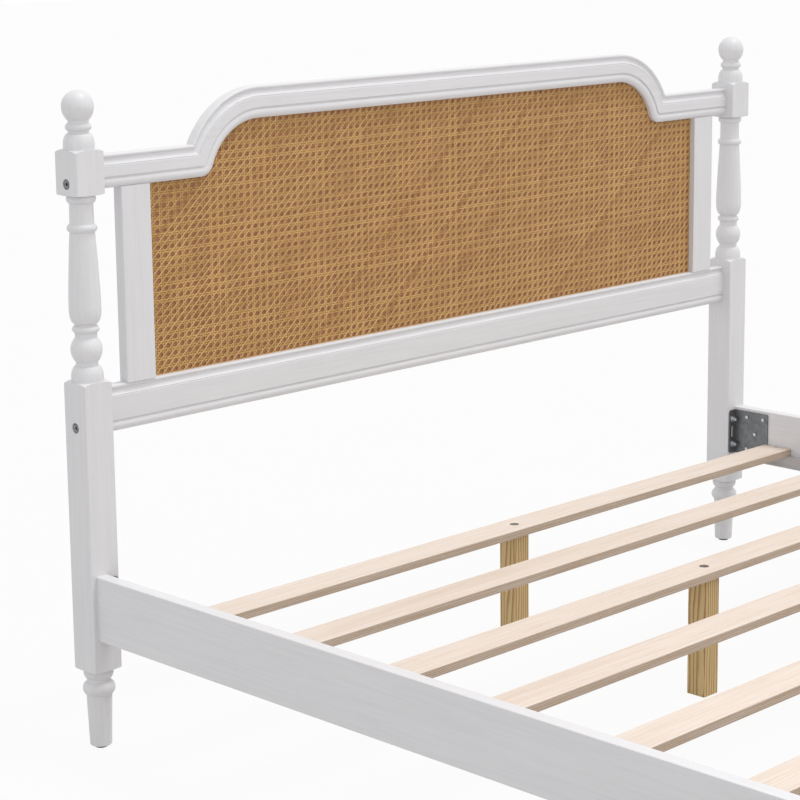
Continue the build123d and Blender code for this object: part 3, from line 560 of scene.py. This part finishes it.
def put_mesh(name: str, points: np.ndarray, faces: np.ndarray, material: bpy.types.Material) -> bpy.types.Object:
    """Make an object of flat, four-sided faces.

    Args:
        name: the object's name.
        points: n by 3 places in metres.
        faces: m by 4 indices into the points, anticlockwise seen from outside.
        material: what the piece is finished with.

    Returns:
        The object, at the origin and linked to the scene.
    """
    mesh = bpy.data.meshes.new(name)
    mesh.vertices.add(len(points))
    mesh.vertices.foreach_set("co", np.asarray(points, np.float32).ravel())
    mesh.loops.add(faces.size)
    mesh.loops.foreach_set("vertex_index", np.asarray(faces, np.int32).ravel())
    mesh.polygons.add(len(faces))
    mesh.polygons.foreach_set("loop_start", np.arange(0, faces.size, 4, dtype=np.int32))
    mesh.polygons.foreach_set("loop_total", np.full(len(faces), 4, np.int32))
    mesh.polygons.foreach_set("use_smooth", np.zeros(len(faces), bool))
    mesh.update(calc_edges=True)
    mesh.validate()
    mesh.materials.append(material)
    piece = bpy.data.objects.new(name, mesh)
    bpy.context.scene.collection.objects.link(piece)
    return piece


@dataclass
class CaneWebbing:
    """Woven split rattan in the headboard's opening.

    Pairs of upright and level strands cross on a lattice. Single slanting strands cross halfway between
    the crossings, both ways, which leaves an eight-sided hole in the middle of each cell.
    """

    pitch: tuple[float, float] = (0.0176, 0.0159)
    pair_reach: float = 0.0020
    width: float = 0.0023
    slant_width: float = 0.0028
    thickness: float = 0.0007
    top_share: float = 0.6
    pair_heights: tuple[float, float, float] = (0.0011, 0.0014, 0.0017)
    rising_heights: tuple[float, float] = (0.0023, 0.0020)
    falling_heights: tuple[float, float] = (0.0005, 0.0008)
    half_columns: int = 48
    half_rows: int = 16
    lip: float = 0.006
    arch_x: float = 0.549823
    arch_z: float = 1.0445
    arch_radius: float = 0.1255
    crown_bottom: float = 1.17
    shoulder_bottom: float = 1.068
    opening_bottom: float = 0.6975
    opening_side: float = 0.826
    seed: int = 7

    def inside(self, x: np.ndarray, z: np.ndarray) -> np.ndarray:
        """Whether each point lies in the opening grown by the lip.

        The opening is a box up to the shoulders, and above them the space under an arch: a box between
        the arch's two centres and a quarter disc beyond each.

        Args:
            x: the points' places across the bed.
            z: their heights.

        Returns:
            True for each point inside.
        """
        side = np.abs(x)
        low = (side < self.opening_side + self.lip) & (z > self.opening_bottom - self.lip)
        low &= z < self.shoulder_bottom + self.lip
        crown = (side < self.arch_x) & (z >= self.shoulder_bottom) & (z < self.crown_bottom + self.lip)
        disc = np.hypot(side - self.arch_x, z - self.arch_z) < self.arch_radius + self.lip
        return low | crown | (disc & (z >= self.shoulder_bottom))

    def strands(self, name: str, starts: np.ndarray, step: np.ndarray, heights: np.ndarray, width: float,
                material: bpy.types.Material) -> bpy.types.Object:
        """Lay many parallel strands, each a flat bar with bevelled edges.

        A strand's middle line is start + running total of the steps. Its section has four corners: two at
        the foot, half the width out, and two on top, a little further in. Stretches outside the opening
        are left out, and each end is capped.

        Args:
            name: the piece's name.
            starts: s by 2 places (x, z) where the strands begin.
            step: n by 2 offsets (x, z) of each strand's points from its start.
            heights: s by n heights of the strands' undersides over the webbing's back.
            width: how wide a strand is.
            material: the cane.

        Returns:
            The strands as one object.
        """
        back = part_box("rattan_panel")[1].y
        line = starts[:, None, :] + step[None, :, :]
        way = step[-1] - step[0]
        way = way / np.hypot(*way)
        out = np.array([way[1], -way[0]])
        top = self.top_share / 2
        section = np.array([(-0.5, 0.0), (-top, 1.0), (top, 1.0), (0.5, 0.0)])
        count, length = line.shape[:2]
        points = np.zeros((count, length, 4, 3))
        points[..., 0] = line[..., None, 0] + section[:, 0] * width * out[0]
        points[..., 2] = line[..., None, 1] + section[:, 0] * width * out[1]
        points[..., 1] = back - heights[..., None] - section[:, 1] * self.thickness
        inside = self.inside(line[..., 0], line[..., 1])
        kept = inside[:, 1:] & inside[:, :-1]
        index = np.arange(count * length * 4).reshape(count, length, 4)
        near, far = index[:, :-1], index[:, 1:]
        turn = np.roll(np.arange(4), -1)
        walls = np.stack([near, near[..., turn], far[..., turn], far], axis=-1)[kept].reshape(-1, 4)
        padded = np.pad(kept, ((0, 0), (1, 1)))
        first = (padded[:, 1:] & ~padded[:, :-1])[:, :length]
        last = (padded[:, :-1] & ~padded[:, 1:])[:, :length]
        faces = np.concatenate([walls, index[first][:, ::-1], index[last]])
        used, packed = np.unique(faces, return_inverse=True)
        tone = np.random.default_rng(self.seed).random(count)
        tones = np.repeat(tone, length * 4)[used]
        piece = put_mesh(name, points.reshape(-1, 3)[used], packed.reshape(faces.shape), material)
        piece.data.attributes.new("strand_tone", "FLOAT", "POINT").data.foreach_set("value", tones.astype(np.float32))
        return piece

    def lattice(self) -> tuple[np.ndarray, np.ndarray, float]:
        """The lattice that the pairs follow, which is centred on the opening.

        Returns:
            The columns and the rows, counted from the middle ones, and the middle row's height.
        """
        columns = np.arange(-self.half_columns, self.half_columns + 1)
        rows = np.arange(-self.half_rows, self.half_rows + 1)
        return columns, rows, (self.opening_bottom + self.crown_bottom) / 2

    def pairs(self, cane: bpy.types.Material) -> list[bpy.types.Object]:
        """Weave the upright and the level pairs.

        A pair's strands lie the pair's reach to either side of a line of the lattice. Each has three points a
        cell: one at each strand of the pair that it crosses, where it dips or climbs, and one halfway to the
        next crossing. The two sets take opposite turns, so one is over where the other is under.

        Args:
            cane: the pairs' material.

        Returns:
            The upright pairs and the level pairs.
        """
        across, up = self.pitch
        columns, rows, middle = self.lattice()
        reach, sides = self.pair_reach, np.array([-1, 1])
        low, mid, high = self.pair_heights
        starts = np.array([(c * across + s * reach, middle + rows[0] * up) for c in columns for s in sides])
        spots = np.array([(0.0, r * up + d) for r in range(len(rows)) for d in (-reach, reach, up / 2)])
        over = np.tile(np.array([[low, high, mid] * len(rows), [high, low, mid] * len(rows)]), (len(columns), 1))
        uprights = self.strands("rattan_uprights", starts, spots, over, self.width, cane)
        starts = np.array([(columns[0] * across, middle + r * up + s * reach) for r in rows for s in sides])
        spots = np.array([(c * across + d, 0.0) for c in range(len(columns)) for d in (-reach, reach, across / 2)])
        over = np.tile(np.array([[high, low, mid] * len(columns), [low, high, mid] * len(columns)]), (len(rows), 1))
        return [uprights, self.strands("rattan_levels", starts, spots, over, self.width, cane)]

    def slants(self, name: str, cane: bpy.types.Material, slope: int,
               heights: tuple[float, float]) -> bpy.types.Object:
        """Lay the single strands that slant one way.

        A strand begins halfway between two columns, on the lowest row where it climbs and on the highest where
        it drops. Each of its points is a quarter cell across and a quarter cell up or down from the last.

        Args:
            name: the piece's name.
            cane: its material.
            slope: 1 where the strands climb to the right, -1 where they drop.
            heights: how far the strand's underside is over the webbing's back, by turns.

        Returns:
            The strands as one object.
        """
        across, up = self.pitch
        columns, rows, middle = self.lattice()
        turns = len(rows) + 1
        begins = np.arange(columns[0] - turns - 1, columns[-1] + 2)
        foot = rows[0] if slope > 0 else rows[-1]
        starts = np.array([(b * across + 0.5 * across, middle + foot * up) for b in begins])
        share = np.arange(0, 4 * turns + 1) / 4
        spots = np.stack([share * across, share * up * slope], axis=1)
        over = np.tile(np.array(heights)[np.arange(len(share)) % 2], (len(starts), 1))
        return self.strands(name, starts, spots, over, self.slant_width, cane)

    def build(self, level: bpy.types.Material, rising: bpy.types.Material,
              falling: bpy.types.Material) -> list[bpy.types.Object]:
        """Weave the four sets of strands.

        Args:
            level: the cane of the upright and level pairs.
            rising: the cane of the strands that climb to the right, on top, mixed lighter as a painted highlight.
            falling: the cane of the strands that drop to the right, at the back, mixed darker as painted shade.

        Returns:
            Upright pairs, level pairs, and the two sets of slanting strands.
        """
        return [
            *self.pairs(level),
            self.slants("rattan_rising", rising, 1, self.rising_heights),
            self.slants("rattan_falling", falling, -1, self.falling_heights),
        ]


@dataclass
class Bed:
    """All of the bed: the finish of every modelled piece, and the cane in the headboard."""

    nodes: dict[str, bpy.types.Object]
    webbing: CaneWebbing = field(default_factory=CaneWebbing)

    def finishes(self) -> dict[str, list[str]]:
        """Which material goes on which modelled pieces.

        Returns:
            Each finish with the names, or beginnings of names, of its pieces.
        """
        return {
            "paint_upright": ["headboard_post", "foot_post", "headboard_stile"],
            "paint_across": ["headboard_top_rail", "headboard_bottom_rail", "foot_rail"],
            "paint_along": ["side_rail"],
            "paint_shaded_ledge": ["slat_ledge"],
            "backing": ["backing_board", "rattan_panel"],
            "slat_wood": ["slat_"],
            "leg_wood": ["support_leg"],
            "dowel_across": ["headboard_rail_dowels", "foot_rail_dowels"],
            "dowel_upright": ["stile_dowels"],
            "dark_steel": ["head_bracket", "foot_bracket"],
            "bolt_steel": ["headboard_bolts", "foot_rail_bolts", "leg_bolts"],
            "bright_steel": ["panel_pins", "headboard_barrel_nuts", "foot_rail_barrel_nuts", "bracket_screws",
                             "bracket_studs", "bracket_washers", "bracket_nuts", "ledge_screws", "slat_screws"],
            "black_plastic": ["post_glides"],
        }

    def materials(self) -> dict[str, bpy.types.Material]:
        """Mix every material of the bed.

        Returns:
            Each material by its name.
        """
        made = [
            SatinPaint("paint_upright", Grain.UPRIGHT),
            SatinPaint("paint_across", Grain.ACROSS),
            SatinPaint("paint_along", Grain.ALONG),
            # The slat ledges' paint is mixed grey, darker than the frame's white: painted shade from the slats above
            # them.
            SatinPaint("paint_shaded_ledge", Grain.ALONG, from_screen(188, 184, 184), from_screen(170, 165, 164)),
            # rattan_rising is mixed lighter and rattan_falling darker than rattan: a painted highlight on the strands
            # on top, painted shade on those at the back.
            CaneSkin("rattan", from_screen(218, 176, 107), from_screen(172, 129, 68)),
            CaneSkin("rattan_rising", from_screen(216, 174, 118), from_screen(188, 144, 90)),
            CaneSkin("rattan_falling", from_screen(194, 149, 84), from_screen(160, 115, 60)),
            StainedBoard(),
            SlatWood(),
            PineLeg(),
            PlainTimber("dowel_across", Grain.ACROSS),
            PlainTimber("dowel_upright", Grain.UPRIGHT),
            PlatedSteel("dark_steel", from_screen(122, 124, 126), from_screen(110, 111, 114), 0.42, metal=0.75),
            # bolt_steel is mixed far darker than plated steel, with a wide light-to-dark mottle: painted dark
            # reflections on the bolt heads.
            PlatedSteel("bolt_steel", from_screen(150, 152, 156), from_screen(92, 94, 98), 0.3),
            PlatedSteel("bright_steel", from_screen(206, 207, 208), from_screen(176, 178, 182), 0.3),
            MouldedPlastic(),
        ]
        return {finish.name: finish.material() for finish in made}

    def dress(self) -> None:
        """Give every modelled piece its material, by the longest rule that fits its name, and weave the cane."""
        materials = self.materials()
        rules = [(start, name) for name, starts in self.finishes().items() for start in starts]
        rules.sort(key=lambda rule: -len(rule[0]))
        for node_name, piece in self.nodes.items():
            name = next(name for start, name in rules if node_name.startswith(start))
            for slot in piece.material_slots:
                slot.material = materials[name]
            log.info("%s: %s", node_name, name)
        for piece in self.webbing.build(*(materials[cane] for cane in ("rattan", "rattan_rising", "rattan_falling"))):
            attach(piece, "root")
            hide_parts("rattan_panel")
            log.info("%s: %d faces", piece.name, len(piece.data.polygons))


def seen_straight(tree: bpy.types.NodeTree) -> Socket:
    """A socket that is 1 for what the camera sees, also in a mirror or through glass, and 0 for lighting.

    Args:
        tree: the node tree of the world or of a material.

    Returns:
        The socket.
    """
    path = tree.nodes.new("ShaderNodeLightPath")
    seen = path.outputs["Is Camera Ray"]
    for other in ("Is Glossy Ray", "Is Transmission Ray"):
        either = tree.nodes.new("ShaderNodeMath")
        either.operation = "MAXIMUM"
        tree.links.new(seen, either.inputs[0])
        tree.links.new(path.outputs[other], either.inputs[1])
        seen = either.outputs[0]
    return seen


@dataclass
class Studio:
    """The pale floor, the soft lights and the camera."""

    eye: Colour = (-3.4801, -2.2709, 1.5743)
    yaw: float = math.radians(44.793)
    pitch: float = math.radians(-10.678)
    roll: float = math.radians(-0.689)
    lens: float = 102.16
    shift: tuple[float, float] = (0.0082, -0.0842)
    sensor: float = 36.0
    view_end: float = 100.0
    sky: float = 0.83
    sun: float = 1.2
    sun_spread: float = math.radians(22)
    sun_from: Colour = (0.26, -0.24, 0.94)
    lamp: float = 6.0
    lamp_at: Colour = (-0.65, -1.0, 1.9)
    lamp_aim: Colour = (0.8, 0.4, 0.4)
    lamp_size: float = 1.2
    floor_reach: float = 30.0
    floor_level: float = -0.0005
    floor_tones: tuple[float, float] = (0.61, 0.59)
    floor_tint: float = 3.0
    floor_roughness: float = 0.9
    floor_gloss: float = 0.1
    floor_glow: float = 0.93

    def camera(self) -> None:
        """Stand the camera where the photograph was taken from."""
        ahead = Vector((math.sin(self.yaw) * math.cos(self.pitch), math.cos(self.yaw) * math.cos(self.pitch),
                        math.sin(self.pitch)))
        level = Vector((math.cos(self.yaw), -math.sin(self.yaw), 0.0))
        upright = level.cross(ahead)
        cos, sin = math.cos(self.roll), math.sin(self.roll)
        right = cos * level + sin * upright
        up = -sin * level + cos * upright
        data = bpy.data.cameras.new("camera")
        data.lens, data.sensor_width, data.clip_end = self.lens, self.sensor, self.view_end
        data.shift_x, data.shift_y = self.shift
        camera = bpy.data.objects.new("camera", data)
        camera.matrix_world = Matrix.LocRotScale(
            Vector(self.eye), Matrix((right, up, -ahead)).transposed().to_quaternion(), None)
        bpy.context.scene.collection.objects.link(camera)
        bpy.context.scene.camera = camera

    def light(self) -> None:
        """Even white sky, brighter where the camera sees it, one broad sun and one soft lamp."""
        world = bpy.data.worlds.new("world")
        bpy.context.scene.world = world
        world.use_nodes = True
        tree = world.node_tree
        back = tree.nodes["Background"]
        strength = tree.nodes.new("ShaderNodeMix")
        tree.links.new(seen_straight(tree), strength.inputs["Factor"])
        strength.inputs[2].default_value = self.sky
        strength.inputs[3].default_value = 1.0
        tree.links.new(strength.outputs[0], back.inputs["Strength"])
        back.inputs["Color"].default_value = (1.0, 1.0, 1.0, 1.0)
        data = bpy.data.lights.new("sun", "SUN")
        data.energy, data.angle = self.sun, self.sun_spread
        sun = bpy.data.objects.new("sun", data)
        sun.rotation_mode = "QUATERNION"
        sun.rotation_quaternion = Vector(self.sun_from).to_track_quat("Z", "Y")
        bpy.context.scene.collection.objects.link(sun)
        data = bpy.data.lights.new("lamp", "AREA")
        data.energy, data.shape, data.size = self.lamp, "DISK", self.lamp_size
        lamp = bpy.data.objects.new("lamp", data)
        lamp.location = self.lamp_at
        lamp.rotation_mode = "QUATERNION"
        lamp.rotation_quaternion = (Vector(self.lamp_at) - Vector(self.lamp_aim)).to_track_quat("Z", "Y")
        bpy.context.scene.collection.objects.link(lamp)

    def floor(self) -> None:
        """A wide pale floor that stays white to the camera yet keeps the bed's shadow."""
        corners = np.array([(-1, -1, 0), (1, -1, 0), (1, 1, 0), (-1, 1, 0)], float) * self.floor_reach
        corners[:, 2] = self.floor_level
        mix = Recipe("floor")
        tint = mix.noise(mix.place(), self.floor_tint, 2.0)
        light, dark = ((tone, tone, tone) for tone in self.floor_tones)
        colour = mix.blend(mix.spread(tint, 0.3, 0.7), light, dark)
        mix.finish(colour, self.floor_roughness, gloss=self.floor_gloss)
        glow = mix.node("ShaderNodeEmission")
        share = mix.sums("MULTIPLY", seen_straight(mix.tree), self.floor_glow)
        both = mix.node("ShaderNodeMixShader")
        mix.feed(both.inputs[0], share)
        mix.feed(both.inputs[1], mix.shader.outputs[0])
        mix.feed(both.inputs[2], glow.outputs[0])
        mix.feed(mix.tree.nodes["Material Output"].inputs["Surface"], both.outputs[0])
        put_mesh("floor", corners, np.array([[0, 1, 2, 3]]), mix.material)

    def build(self) -> None:
        """Set the whole studio up."""
        bpy.context.scene.view_settings.view_transform = "Standard"
        self.camera()
        self.light()
        self.floor()


def main() -> None:
    """Load the model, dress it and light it."""
    logging.basicConfig(level=logging.INFO, format="%(name)s: %(message)s")
    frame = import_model()
    Studio().build()
    Bed(frame["nodes"]).dress()


if __name__ == "__main__":
    main()
